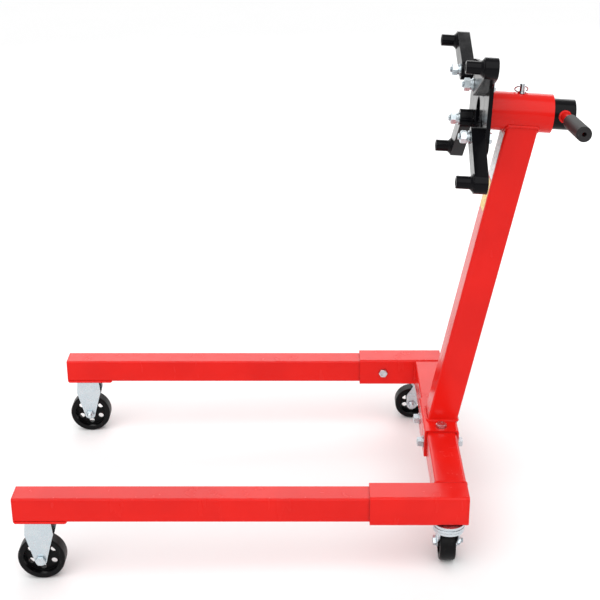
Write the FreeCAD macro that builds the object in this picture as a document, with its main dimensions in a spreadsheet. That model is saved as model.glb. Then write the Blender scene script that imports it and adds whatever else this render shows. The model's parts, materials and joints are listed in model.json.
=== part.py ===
# Engine stand: a chassis of welded square tube on four casters, a raked mast bolted over the rear
# cross tube, and a rotating head with a slotted plate and four adjustable arms.
#
# The origin is on the floor under the middle of the stand: X to the rear, Y to the right, Z up.
# Chassis frame: X runs along the legs towards the rear, Y to the right, Z up, with the origin on
# the cross tube's centreline. The front casters are taller than the rear ones, so the standing
# chassis leans back a little: STANCE turns it and lifts it until the wheels touch Z = 0.
import FreeCAD, Part
import math
import os
import Sketcher
from FreeCAD import Placement, Rotation, Vector

DIMENSIONS = {
    # the cross tube's distance behind the middle of the whole stand, which is the origin
    "cross_tube_x": 284.4,
    # square tube of the chassis and mast
    "tube_side": 60.0, "tube_wall": 3.0, "tube_corner": 5.0,
    "leg_side": 50.0, "leg_wall": 3.0, "leg_corner": 4.0,
    "leg_spacing": 591.0, "leg_front": 821.4, "leg_rear": 20.0, "sleeve_front": 155.0,
    "cap_thickness": 3.0,
    "lock_bolt_x": 102.0, "lock_bolt_length": 21.0,
    # hex fasteners: the small size for legs, forks and axles, the large one for the rest
    "clamp_bolt": 10.0, "clamp_hole": 10.6, "small_flats": 17.0, "small_head": 6.4,
    "small_nut": 8.0, "large_flats": 19.0, "large_head": 7.5, "large_nut": 10.0,
    # front casters
    "pad_length": 98.0, "pad_width": 52.0, "pad_thickness": 3.0, "pad_front": 820.0,
    "front_axle_x": 777.0, "front_axle_drop": 111.4, "front_wheel_diameter": 90.0,
    "fork_sheet": 3.0, "fork_gap": 34.0, "fork_top_length": 48.0, "fork_belly_length": 54.0,
    "fork_belly_drop": 28.0, "fork_nose_radius": 12.0, "fork_bolt_offset": 14.0,
    "fork_corner": 4.0, "fork_bolt_length": 20.0,
    # rear casters
    "pivot_x": 5.0, "pivot_out": 10.0, "rear_trail": 28.0, "rear_axle_drop": 91.5,
    "rear_wheel_diameter": 75.0,
    "race_diameter": 60.0, "race_thickness": 12.0, "race_gap": 0.5, "crown_diameter": 59.0,
    "race_groove_top": 5.0, "race_groove_depth": 1.5, "race_groove_slope": 0.4,
    "crown_thickness": 5.0, "ball_diameter": 5.0, "ball_circle": 20.0, "ball_clearance": 0.15,
    "ball_count": 12.0, "stem_diameter": 12.0, "stem_clearance": 0.3, "stem_spare": 12.0,
    "rear_nose_radius": 12.0, "rear_heel_drop": 25.0, "rear_top_back": 22.4,
    "rear_top_front": 19.6, "rear_shoulder": 16.8, "rear_shoulder_drop": 16.8,
    # wheels and axles
    "wheel_width": 30.0, "hub_width": 33.0, "hub_diameter": 24.0, "web_thickness": 5.0,
    "rim_depth": 11.0, "wheel_hole": 11.5, "front_hole_circle": 25.0, "rear_hole_circle": 18.0,
    "wheel_hole_count": 6.0, "axle_diameter": 10.0, "axle_spare": 12.0,
    "running_clearance": 0.05, "tread_bevel": 2.0, "tread_bevel_width": 3.0,
    # mast and its saddle
    "mast_rake": 11.6, "mast_foot_x": 5.0, "mast_tube": 665.0, "mast_foot_spare": 15.0,
    "saddle_length": 146.0, "saddle_sheet": 5.0, "saddle_drop": 25.0, "saddle_corner": 6.0,
    "saddle_bolt": 12.0, "saddle_hole": 12.6, "cross_bolt_y": 50.0, "cross_bolt_z": 3.0,
    "cross_bolt_spare": 16.0, "top_bolt_y": 56.0, "top_bolt_spare": 11.0,
    "saddle_washer": 24.0, "saddle_washer_thickness": 2.5,
    # head tube, shaft and lock pin
    "head_tilt": 3.4, "head_x": 70.6, "head_z": 679.4,
    "head_tube_diameter": 73.0, "head_tube_front": 11.4, "head_tube_rear": 118.0,
    "shaft_diameter": 58.0, "shaft_wall": 4.0, "shaft_rear": 160.0, "shaft_clearance": 0.1,
    "index_hole": 10.5, "index_count": 12.0, "pin_diameter": 10.0, "pin_axial": 58.0,
    "pin_tip": 20.0, "pin_length": 35.0, "pin_collar": 16.0, "pin_collar_height": 4.0,
    "pin_point": 2.0, "pin_chamfer": 1.0,
    "ring_diameter": 27.0, "ring_wire": 2.6, "ring_hole": 5.4, "ring_rise": 13.0,
    "ring_droop": 40.0,
    # mounting plate: its middle stands above the shaft's axis, and the slots fan out from it
    "plate_front": 20.4, "plate_thickness": 8.0, "plate_width": 256.0, "plate_height": 158.0,
    "plate_corner": 18.0, "plate_rise": 8.5, "plate_roll": -8.5, "plate_slot_width": 13.0,
    "slot_angle": 25.7, "slot_inner": 60.0, "slot_outer": 128.0,
    # arms, their fingers and their clamp bolts
    "arm_thickness": 25.0, "arm_clearance": 0.05, "arm_width": 38.0, "arm_tail": 17.0,
    "arm_reach": 119.4, "arm_hole": 13.0, "arm_corner": 16.0,
    "finger_diameter": 23.0, "finger_length": 31.0, "finger_bore": 14.0, "finger_flare": 31.0,
    "finger_flare_length": 6.0, "finger_flare_edge": 1.5, "finger_chamfer": 1.0,
    "arm_bolt": 12.0, "arm_bolt_spare": 4.0, "arm_nut_height": 10.8, "arm_washer": 24.0,
    "washer_stack": 6.4,
    # handle
    "handle_axial": 139.5, "handle_roll": -5.0, "handle_bar": 19.0, "handle_reach": 207.0,
    "handle_inside": 22.0,
    "grip_diameter": 28.0, "grip_length": 124.0, "grip_tip": 20.0, "grip_end_hole": 8.0,
    "grip_bevel": 2.0,
    # blank labels on the mast's front face
    "label_thickness": 0.3, "upper_label_height": 91.0, "lower_label_height": 62.0,
    "label_width": 44.0, "label_top": 34.4, "label_gap": 3.0, "label_corner": 3.0,
}
# Each arm: which way its slot runs from the plate's middle (right, up), how far out its bolt is
# clamped, and the direction of the arm, in degrees above or below the plate's long axis.
ARMS = {
    "upper_right": (1, 1, 127.0, 24.8),
    "upper_left": (-1, 1, 101.9, 18.5),
    "lower_right": (1, -1, 80.7, 34.1),
    "lower_left": (-1, -1, 113.8, 34.8),
}
SIDES = {"left": -1, "right": 1}
SWIVEL_AT_REST = {"left": -90.0, "right": 0.0}
# How closely a direction or a place must match to pick an edge, and the least a cut must remove.
PARALLEL = 0.999
SAME_PLACE = 0.01
LEAST_CUT = 1.0

doc = FreeCAD.newDocument("EngineStand")
sheet = doc.addObject("Spreadsheet::Sheet", "Dims")
parts = {}


class Size:
    """A length from the sheet, or a sum made of such lengths: its number and its expression."""

    def __init__(self, number, text):
        self.number = number
        self.text = text

    def joined(self, other, sign, number):
        return Size(number, "(%s %s %s)" % (self.text, sign, sized(other).text))

    def __add__(self, other):
        return self.joined(other, "+", self.number + sized(other).number)

    def __sub__(self, other):
        return self.joined(other, "-", self.number - sized(other).number)

    def __mul__(self, other):
        return self.joined(other, "*", self.number * sized(other).number)

    def __truediv__(self, other):
        return self.joined(other, "/", self.number / sized(other).number)

    def __neg__(self):
        return self * -1.0

    def __float__(self):
        return float(self.number)


def sized(value):
    """Any plain number as a Size."""
    return value if isinstance(value, Size) else Size(float(value), repr(float(value)))


class Dims:
    """The sheet's cells by alias."""

    def __getattr__(self, alias):
        return Size(DIMENSIONS[alias], "Dims.%s" % alias)


def fill_sheet():
    for row, (alias, number) in enumerate(DIMENSIONS.items(), start=1):
        sheet.set("A%d" % row, alias)
        sheet.set("B%d" % row, str(number))
        sheet.setAlias("B%d" % row, alias)
    doc.recompute()


def bind(item, **sizes):
    """Tie properties of an object to expressions of the sheet."""
    for name, size in sizes.items():
        item.setExpression(name, sized(size).text)


def shift(item, x=0, y=0, z=0):
    """Place a primitive inside its own sub-part."""
    for axis, size in zip("xyz", (x, y, z)):
        item.setExpression("Placement.Base.%s" % axis, sized(size).text)


def keep(item, label, place):
    """Finish a sub-part: its label names its file, and place puts it in the stand."""
    item.Label = label
    item.Placement = place
    parts[label] = item
    return item


def at(x=0, y=0, z=0, rotation=None):
    return Placement(Vector(float(x), float(y), float(z)), rotation or Rotation())


# ---- sketches and features -------------------------------------------------------------------

def new_body(name):
    return doc.addObject("PartDesign::Body", "Body_" + name)


def new_sketch(body, role, name, offset=0):
    """A sketch on one of the body's own planes, moved along the plane's normal by offset."""
    plane = [item for item in body.Origin.OriginFeatures if item.Role == role][0]
    sketch = body.newObject("Sketcher::SketchObject", name)
    sketch.AttachmentSupport = [(plane, "")]
    sketch.MapMode = "FlatFace"
    sketch.setExpression("AttachmentOffset.Base.z", sized(offset).text)
    return sketch


def fix_point(sketch, geometry, end, x, y):
    """Hold a point of the sketch at (x, y) from its origin."""
    for kind, size in (("DistanceX", x), ("DistanceY", y)):
        size = sized(size)
        index = sketch.addConstraint(
            Sketcher.Constraint(kind, -1, 1, geometry, end, size.number))
        sketch.setExpression("Constraints[%d]" % index, size.text)


def fix_size(sketch, kind, geometry, size):
    index = sketch.addConstraint(Sketcher.Constraint(kind, geometry, sized(size).number))
    sketch.setExpression("Constraints[%d]" % index, sized(size).text)


def draw_polygon(sketch, points):
    """A closed outline of straight lines; each corner is held by two distances."""
    first = sketch.GeometryCount
    count = len(points)
    seeds = [Vector(float(x), float(y), 0) for x, y in points]
    for i in range(count):
        sketch.addGeometry(Part.LineSegment(seeds[i], seeds[(i + 1) % count]))
    for i in range(count):
        sketch.addConstraint(
            Sketcher.Constraint("Coincident", first + i, 2, first + (i + 1) % count, 1))
    for i, (x, y) in enumerate(points):
        fix_point(sketch, first + i, 1, x, y)


def draw_rectangle(sketch, x, y, width, depth):
    """A rectangle centred on (x, y)."""
    x, y, half, side = sized(x), sized(y), sized(width) / 2, sized(depth) / 2
    draw_polygon(sketch, [(x - half, y - side), (x + half, y - side),
                          (x + half, y + side), (x - half, y + side)])


def draw_circle(sketch, x, y, radius):
    index = sketch.addGeometry(
        Part.Circle(Vector(float(x), float(y), 0), Vector(0, 0, 1), float(radius)))
    fix_point(sketch, index, 3, x, y)
    fix_size(sketch, "Radius", index, radius)


def draw_slot(sketch, start, end, radius):
    """A slot whose round ends are centred on start and end."""
    a = Vector(float(start[0]), float(start[1]), 0)
    b = Vector(float(end[0]), float(end[1]), 0)
    along = (b - a).normalize()
    side = Vector(-along.y, along.x, 0) * float(radius)
    turn = math.atan2(along.y, along.x)
    first = sketch.GeometryCount
    for centre, angle in ((a, turn + math.pi / 2), (b, turn - math.pi / 2)):
        circle = Part.Circle(centre, Vector(0, 0, 1), float(radius))
        sketch.addGeometry(Part.ArcOfCircle(circle, angle, angle + math.pi))
    sketch.addGeometry(Part.LineSegment(a - side, b - side))
    sketch.addGeometry(Part.LineSegment(b + side, a + side))
    for arc, end_of_arc, line, end_of_line in ((0, 2, 2, 1), (2, 2, 1, 1), (1, 2, 3, 1),
                                               (3, 2, 0, 1)):
        sketch.addConstraint(Sketcher.Constraint(
            "Tangent", first + arc, end_of_arc, first + line, end_of_line))
    fix_point(sketch, first, 3, *start)
    fix_point(sketch, first + 1, 3, *end)
    sketch.addConstraint(Sketcher.Constraint("Equal", first, first + 1))
    fix_size(sketch, "Radius", first, radius)


def pad(body, sketch, length, midplane=False, reverse=False):
    feature = body.newObject("PartDesign::Pad", sketch.Name + "_pad")
    feature.Profile = sketch
    feature.Midplane = midplane
    feature.Reversed = reverse
    bind(feature, Length=length)
    return feature


def pocket(body, sketch, length=None):
    """Cut a profile half of length to each side of its plane, or right through without one."""
    doc.recompute()
    before = body.Shape.Volume
    feature = body.newObject("PartDesign::Pocket", sketch.Name + "_cut")
    feature.Profile = sketch
    feature.Midplane = True
    if length is None:
        feature.Type = "ThroughAll"
    else:
        bind(feature, Length=length)
    doc.recompute()
    if body.Shape.Volume > before - LEAST_CUT:
        raise RuntimeError("%s cuts nothing" % feature.Name)
    return feature


def polar(body, feature, role, count):
    """Repeat a feature evenly round one of the body's axes."""
    axis = [item for item in body.Origin.OriginFeatures if item.Role == role][0]
    pattern = body.newObject("PartDesign::PolarPattern", feature.Name + "_ring")
    pattern.Originals = [feature]
    pattern.Axis = (axis, [""])
    pattern.Angle = 360
    bind(pattern, Occurrences=count)
    body.Tip = pattern
    return pattern


def revolve(body, sketch, role):
    axis = [item for item in body.Origin.OriginFeatures if item.Role == role][0]
    feature = body.newObject("PartDesign::Revolution", sketch.Name + "_turned")
    feature.Profile = sketch
    feature.ReferenceAxis = (axis, [""])
    feature.Angle = 360
    return feature


def round_edges(body, test, radius):
    """Fillet the edges that pass a test."""
    doc.recompute()
    tip = body.Tip
    names = ["Edge%d" % (i + 1) for i, edge in enumerate(tip.Shape.Edges) if test(edge)]
    feature = body.newObject("PartDesign::Fillet", tip.Name + "_round")
    feature.Base = (tip, names)
    bind(feature, Radius=radius)
    return feature


def is_along(edge, axis):
    """Whether an edge is a straight line along an axis, given as a unit vector."""
    if not isinstance(edge.Curve, Part.Line):
        return False
    return abs(edge.tangentAt(edge.FirstParameter).dot(axis)) > PARALLEL


# ---- repeated pieces -------------------------------------------------------------------------

AXES = {"XY_Plane": Vector(0, 0, 1), "XZ_Plane": Vector(0, 1, 0), "YZ_Plane": Vector(1, 0, 0)}


def square_tube(name, role, side, wall, corner, length):
    """A square tube centred on the origin, running along the normal of the plane in role."""
    body = new_body(name)
    outside = new_sketch(body, role, name + "_outside")
    draw_rectangle(outside, 0, 0, side, side)
    pad(body, outside, length, midplane=True)
    round_edges(body, lambda edge: is_along(edge, AXES[role]), corner)
    inside = new_sketch(body, role, name + "_inside")
    draw_rectangle(inside, 0, 0, side - wall * 2, side - wall * 2)
    pocket(body, inside)
    inner = float(side) / 2 - float(wall)
    round_edges(body, lambda edge: is_along(edge, AXES[role]) and is_inner(edge, role, inner),
                corner - wall)
    return body


def is_inner(edge, role, reach):
    """Whether a long edge of a tube stands at one of the inner corners."""
    point = edge.Vertexes[0].Point
    across = point - AXES[role] * point.dot(AXES[role])
    return abs(across.Length - reach * math.sqrt(2)) < SAME_PLACE


def drill(body, role, name, x, y, diameter, offset=0, length=None):
    """A round hole square to one of the body's planes, cut as pocket cuts."""
    sketch = new_sketch(body, role, name, offset)
    draw_circle(sketch, x, y, diameter / 2)
    return pocket(body, sketch, length)


def cylinder(name, radius, height):
    item = doc.addObject("Part::Cylinder", name)
    bind(item, Radius=radius, Height=height)
    return item


def prism(name, across_flats, height):
    item = doc.addObject("Part::Prism", name)
    item.Polygon = 6
    bind(item, Circumradius=sized(across_flats) / math.sqrt(3), Height=height)
    return item


def cut(name, base, tool):
    item = doc.addObject("Part::Cut", name)
    item.Base = base
    item.Tool = tool
    return item


def fuse(name, *shapes):
    item = doc.addObject("Part::MultiFuse", name)
    item.Shapes = list(shapes)
    return item


def group(label, items, place):
    """Several equal loose pieces as one node."""
    item = doc.addObject("Part::Compound", label)
    item.Links = items
    return keep(item, label, place)


def hex_bolt(name, diameter, length, across_flats, head):
    """A hex bolt along +Z: the head's seat is at Z = 0 and the shank runs up from it."""
    head_piece = prism(name + "_head", across_flats, head)
    shift(head_piece, z=-head)
    shank = cylinder(name + "_shank", diameter / 2, length)
    return fuse(name, head_piece, shank)


def small_bolt(name, length):
    return hex_bolt(name, d.clamp_bolt, length, d.small_flats, d.small_head)


def small_nut(name):
    return hex_nut(name, d.clamp_bolt, d.small_flats, d.small_nut)


def large_bolt(name, length):
    return hex_bolt(name, d.saddle_bolt, length, d.large_flats, d.large_head)


def large_nut(name):
    return hex_nut(name, d.saddle_bolt, d.large_flats, d.large_nut)


def hex_nut(name, diameter, across_flats, height):
    """A nut along +Z from its seat at Z = 0; its bore meets the bolt's thread."""
    bore = cylinder(name + "_bore", diameter / 2, height)
    return cut(name, prism(name + "_hexagon", across_flats, height), bore)


def washer(name, diameter, bore, thickness):
    hole = cylinder(name + "_hole", bore / 2, thickness)
    return cut(name, cylinder(name + "_disc", diameter / 2, thickness), hole)


# ---- placements that follow from the driving dimensions ---------------------------------------

def stance():
    """Turn and lift the chassis so that the front wheels and the rear wheels stand on Z = 0."""
    along = DIMENSIONS["front_axle_x"] - DIMENSIONS["pivot_x"]
    across = DIMENSIONS["front_axle_drop"] - DIMENSIONS["rear_axle_drop"]
    front = DIMENSIONS["front_wheel_diameter"] / 2
    rear = DIMENSIONS["rear_wheel_diameter"] / 2
    lean = math.asin((front - rear) / math.hypot(along, across)) + math.atan2(across, along)
    lift = front - (DIMENSIONS["front_axle_x"] * math.sin(lean)
                    - DIMENSIONS["front_axle_drop"] * math.cos(lean))
    # the left rear wheel lies across the lean, so its outer edge is its lowest point
    lift += DIMENSIONS["wheel_width"] / 2 * math.sin(lean)
    return at(DIMENSIONS["cross_tube_x"], 0, lift, Rotation(Vector(0, 1, 0), math.degrees(lean)))


def head_frame(chassis):
    """Origin on the shaft's axis; local X runs back along it, Y to the right, Z up."""
    tilt = Rotation(Vector(0, 1, 0), DIMENSIONS["head_tilt"])
    return chassis.multiply(at(DIMENSIONS["head_x"], 0, DIMENSIONS["head_z"], tilt))


def rolled(head, roll):
    """The head frame turned about the shaft's axis."""
    return head.multiply(at(rotation=Rotation(Vector(1, 0, 0), DIMENSIONS[roll])))


def slot_direction(name):
    """Unit vector of an arm's slot in the plate frame."""
    right, up = ARMS[name][:2]
    angle = math.radians(DIMENSIONS["slot_angle"])
    return Vector(0, right * math.cos(angle), up * math.sin(angle))


def clamp_frame(plate, name):
    """Origin on an arm bolt's axis at the plate's front face, with local Y along the arm."""
    right, up, radius, rise = ARMS[name]
    angle = up * rise if right > 0 else 180 - up * rise
    origin = slot_direction(name) * radius + Vector(
        -DIMENSIONS["plate_front"], 0, DIMENSIONS["plate_rise"])
    return plate.multiply(Placement(origin, Rotation(Vector(1, 0, 0), angle)))


def rear_caster_frame(chassis, side):
    """Origin under the sleeve on the swivel axis; local -X is the way the wheel trails."""
    turn = Rotation(Vector(0, 0, 1), SWIVEL_AT_REST[side])
    y = SIDES[side] * (DIMENSIONS["leg_spacing"] / 2 + DIMENSIONS["pivot_out"])
    return chassis.multiply(at(-DIMENSIONS["pivot_x"], y, -DIMENSIONS["tube_side"] / 2, turn))


ALONG_Y = Rotation(Vector(1, 0, 0), -90)
ALONG_MINUS_Y = Rotation(Vector(1, 0, 0), 90)
ALONG_MINUS_X = Rotation(Vector(0, 1, 0), -90)
DOWN = Rotation(Vector(1, 0, 0), 180)

d = Dims()
fill_sheet()
STANCE = stance()
HEAD = head_frame(STANCE)
PLATE = rolled(HEAD, "plate_roll")
HANDLE = rolled(HEAD, "handle_roll")


# ---- chassis ---------------------------------------------------------------------------------

def rear_cross_tube():
    body = square_tube("cross_tube", "XZ_Plane", d.tube_side, d.tube_wall, d.tube_corner,
                       d.leg_spacing - d.tube_side)
    for side in (-1, 1):
        drill(body, "YZ_Plane", "cross_bolt_hole", d.cross_bolt_y * side, -d.cross_bolt_z,
              d.saddle_hole)
        drill(body, "XY_Plane", "top_bolt_hole", 0, d.top_bolt_y * side, d.saddle_hole,
              offset=d.tube_side / 2, length=d.tube_wall * 4)
    keep(body, "rear_cross_tube", STANCE)


def leg_sleeve(side):
    """The rear socket of a leg, with a lock bolt hole inwards and a caster stem hole below."""
    sign = SIDES[side]
    length = d.sleeve_front + d.tube_side / 2 - d.cap_thickness
    middle = (d.tube_side / 2 - d.cap_thickness - d.sleeve_front) / 2
    body = square_tube(side + "_sleeve", "YZ_Plane", d.tube_side, d.tube_wall, d.tube_corner,
                       length)
    drill(body, "XZ_Plane", "lock_hole", -d.lock_bolt_x - middle, 0, d.clamp_hole,
          offset=d.tube_side / 2 * sign, length=d.tube_wall * 4)
    drill(body, "XY_Plane", "stem_hole", -d.pivot_x - middle, d.pivot_out * sign, d.saddle_hole,
          offset=-d.tube_side / 2, length=d.tube_wall * 4)
    keep(body, side + "_leg_sleeve", STANCE.multiply(at(middle, sign * float(d.leg_spacing) / 2)))


def leg(side):
    """The long tube that slides into the sleeve and carries the front caster."""
    sign = SIDES[side]
    length = d.leg_front - d.cap_thickness - d.leg_rear
    middle = -(d.leg_front - d.cap_thickness + d.leg_rear) / 2
    body = square_tube(side + "_leg_tube", "YZ_Plane", d.leg_side, d.leg_wall, d.leg_corner,
                       length)
    drill(body, "XZ_Plane", "lock_hole", -d.lock_bolt_x - middle, 0, d.clamp_hole,
          offset=d.leg_side / 2 * sign, length=d.leg_wall * 4)
    for end in (-1, 1):
        drill(body, "XY_Plane", "fork_bolt_hole",
              d.fork_bolt_offset * end - d.front_axle_x - middle, 0, d.clamp_hole,
              offset=-d.leg_side / 2, length=d.leg_wall * 4)
    keep(body, side + "_leg", STANCE.multiply(at(middle, sign * float(d.leg_spacing) / 2)))


def tube_caps(label, side_length, corner, x):
    """The plates welded over the open ends of a pair of tubes."""
    caps = []
    for sign in SIDES.values():
        body = new_body(label)
        outline = new_sketch(body, "YZ_Plane", label + "_outline")
        draw_rectangle(outline, 0, 0, side_length, side_length)
        pad(body, outline, d.cap_thickness)
        round_edges(body, lambda edge: is_along(edge, Vector(1, 0, 0)), corner)
        body.Placement = at(x, sign * float(d.leg_spacing) / 2)
        caps.append(body)
    group(label, caps, STANCE)


def caster_pads():
    """The painted plates between the legs and their front casters."""
    group("front_caster_pads", [caster_pad(side) for side in SIDES], STANCE)


def caster_pad(side):
    centre = d.pad_length / 2 - d.pad_front
    body = new_body(side + "_pad")
    outline = new_sketch(body, "XY_Plane", side + "_pad_outline")
    draw_rectangle(outline, 0, 0, d.pad_length, d.pad_width)
    pad(body, outline, d.pad_thickness, reverse=True)
    round_edges(body, lambda edge: is_along(edge, Vector(0, 0, 1)), d.leg_corner)
    for end in (-1, 1):
        drill(body, "XY_Plane", "fork_bolt_hole", d.fork_bolt_offset * end - d.front_axle_x - centre,
              0, d.clamp_hole)
    body.Placement = at(centre, SIDES[side] * float(d.leg_spacing) / 2, -d.leg_side / 2)
    return body


def fork(body, name, outline, nose_x, nose_z, nose_radius):
    """A pressed fork: two cheeks of one outline under a top plate, with a round nose each."""
    width = d.fork_gap + d.fork_sheet * 2
    cheeks = new_sketch(body, "XZ_Plane", name + "_cheeks")
    draw_polygon(cheeks, outline)
    pad(body, cheeks, width, midplane=True)
    nose = new_sketch(body, "XZ_Plane", name + "_nose")
    draw_circle(nose, nose_x, nose_z, nose_radius)
    pad(body, nose, width, midplane=True)


def open_fork(body, name, top_thickness, axle_x, axle_z):
    """Cut the wheel's space out of a fork and drill it for the axle."""
    depth = -sized(axle_z) * 2
    space = new_sketch(body, "YZ_Plane", name + "_space")
    draw_rectangle(space, 0, -top_thickness - depth / 2, d.fork_gap, depth)
    pocket(body, space)
    drill(body, "XZ_Plane", name + "_axle_hole", axle_x, axle_z, d.clamp_hole)


def front_fork(side):
    drop = d.front_axle_drop - d.leg_side / 2 - d.pad_thickness
    top, belly, nose = d.fork_top_length / 2, d.fork_belly_length / 2, d.fork_nose_radius
    body = new_body(side + "_front_fork")
    outline = [(-top, 0), (top, 0), (belly, -d.fork_belly_drop), (nose, -drop), (-nose, -drop),
               (-belly, -d.fork_belly_drop)]
    fork(body, side + "_front", outline, 0, -drop, nose)
    round_edges(body, lambda edge: is_along(edge, Vector(1, 0, 0)), d.fork_corner)
    open_fork(body, side + "_front", d.fork_sheet, 0, -drop)
    for end in (-1, 1):
        drill(body, "XY_Plane", "fork_bolt_hole", d.fork_bolt_offset * end, 0, d.clamp_hole,
              length=d.fork_sheet * 4)
    y = SIDES[side] * float(d.leg_spacing) / 2
    keep(body, side + "_front_fork",
         STANCE.multiply(at(-d.front_axle_x, y, -(d.leg_side / 2 + d.pad_thickness))))


def ball_track(body, name, z):
    """A round groove for the swivel's balls."""
    section = new_sketch(body, "XZ_Plane", name + "_track")
    draw_circle(section, d.ball_circle, z, d.ball_diameter / 2 + d.ball_clearance)
    axis = [item for item in body.Origin.OriginFeatures if item.Role == "Z_Axis"][0]
    doc.recompute()
    before = body.Shape.Volume
    groove = body.newObject("PartDesign::Groove", name + "_groove")
    groove.Profile = section
    groove.ReferenceAxis = (axis, [""])
    groove.Angle = 360
    doc.recompute()
    if body.Shape.Volume > before - LEAST_CUT:
        raise RuntimeError(name + " track cuts nothing")


def rear_race(side):
    """The fixed upper race of a rear caster: a flanged ring under the sleeve."""
    radius, hole, depth = d.race_diameter / 2, d.saddle_hole / 2, d.race_thickness
    waist = radius - d.race_groove_depth
    groove, slope = d.race_groove_top, d.race_groove_slope
    body = new_body(side + "_race")
    section = new_sketch(body, "XZ_Plane", side + "_race_section")
    draw_polygon(section, [
        (hole, 0), (radius, 0), (radius, -groove), (waist, -groove - slope),
        (waist, groove + slope - depth), (radius, groove - depth), (radius, -depth),
        (hole, -depth)])
    revolve(body, section, "Z_Axis")
    ball_track(body, side + "_race", -depth - d.race_gap / 2)
    body.Placement = rear_caster_frame(Placement(), side)
    return body


def rear_fork(side):
    """The swivelling fork: a round crown under the race and two cheeks that trail back."""
    drop = d.rear_axle_drop - d.tube_side / 2 - d.race_thickness - d.race_gap
    nose, trail = d.rear_nose_radius, -d.rear_trail
    crown = d.crown_diameter / 2
    body = new_body(side + "_rear_fork")
    outline = [(trail - nose, -drop), (trail - nose, -d.rear_heel_drop), (-d.rear_top_back, 0),
               (d.rear_top_front, 0), (d.rear_shoulder, -d.rear_shoulder_drop),
               (trail + nose, -drop)]
    fork(body, side + "_rear", outline, trail, -drop, nose)
    disc = new_sketch(body, "XY_Plane", side + "_crown")
    draw_circle(disc, 0, 0, crown)
    pad(body, disc, d.crown_thickness, reverse=True)
    open_fork(body, side + "_rear", d.crown_thickness, trail, -drop)
    drill(body, "XY_Plane", "stem_hole", 0, 0, d.stem_diameter + d.running_clearance * 2,
          length=d.crown_thickness * 4)
    ball_track(body, side + "_crown", d.race_gap / 2)
    keep(body, side + "_rear_fork", rear_fork_frame(side))


def rear_fork_frame(side):
    """Origin on the swivel axis at the top of the fork's crown."""
    return rear_caster_frame(STANCE, side).multiply(at(z=-(d.race_thickness + d.race_gap)))


def swivel_balls(side):
    """The ring of balls between race and crown."""
    balls = []
    count = int(DIMENSIONS["ball_count"])
    for i in range(count):
        ball = doc.addObject("Part::Sphere", side + "_ball")
        bind(ball, Radius=d.ball_diameter / 2)
        angle = 360.0 * i / count
        shift(ball, d.ball_circle * math.cos(math.radians(angle)),
              d.ball_circle * math.sin(math.radians(angle)), d.race_gap / 2)
        balls.append(ball)
    group(side + "_swivel_balls", balls, rear_fork_frame(side))


def wheel(label, diameter, hole_circle, place):
    """A moulded wheel about local Z: hub, thin web with lightening holes, and a rounded rim."""
    radius, half, hub = diameter / 2, d.wheel_width / 2, d.hub_width / 2
    bore = d.axle_diameter / 2 + d.running_clearance
    web, rim, boss = d.web_thickness / 2, diameter / 2 - d.rim_depth, d.hub_diameter / 2
    side = [(bore, hub), (boss, hub), (boss, web), (rim, web), (rim, half),
            (radius - d.tread_bevel, half), (radius, half - d.tread_bevel_width)]
    body = new_body(label)
    section = new_sketch(body, "XZ_Plane", label + "_section")
    draw_polygon(section, [(x, -y) for x, y in side] + side[::-1])
    revolve(body, section, "Z_Axis")
    hole = new_sketch(body, "XY_Plane", label + "_hole")
    draw_circle(hole, 0, hole_circle, d.wheel_hole / 2)
    polar(body, pocket(body, hole), "Z_Axis", d.wheel_hole_count)
    keep(body, label, place)


def wheel_frame(side, front):
    """Origin at the wheel's centre, with local Z along its axle."""
    if front:
        y = SIDES[side] * DIMENSIONS["leg_spacing"] / 2
        base = STANCE.multiply(at(-DIMENSIONS["front_axle_x"], y, -DIMENSIONS["front_axle_drop"]))
    else:
        drop = DIMENSIONS["rear_axle_drop"] - DIMENSIONS["tube_side"] / 2
        base = rear_caster_frame(STANCE, side).multiply(at(-DIMENSIONS["rear_trail"], 0, -drop))
    return base.multiply(at(rotation=ALONG_Y))


def axle_sets():
    """An axle bolt and locknut through each fork, heads outward; the front pairs share nodes."""
    outside = float(d.fork_gap) / 2 + float(d.fork_sheet)
    fronts = []
    for front in (True, False):
        for side, sign in SIDES.items():
            name = side + ("_front_axle" if front else "_rear_axle")
            bolt = small_bolt(name + "_bolt", d.fork_gap + d.fork_sheet * 2 + d.axle_spare)
            nut = small_nut(name + "_locknut")
            frame = wheel_frame(side, front)
            inward = Rotation() if sign < 0 else DOWN
            bolt_place = at(z=sign * outside, rotation=inward)
            nut_place = at(z=-sign * outside, rotation=inward)
            if front:
                bolt.Placement = frame.multiply(bolt_place)
                nut.Placement = frame.multiply(nut_place)
                fronts.append((bolt, nut))
            else:
                bolt.Placement = bolt_place
                nut.Placement = nut_place
                group(name, [bolt, nut], frame)
    group("front_axles", [pair[0] for pair in fronts], Placement())
    group("front_axle_nuts", [pair[1] for pair in fronts], Placement())


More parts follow.
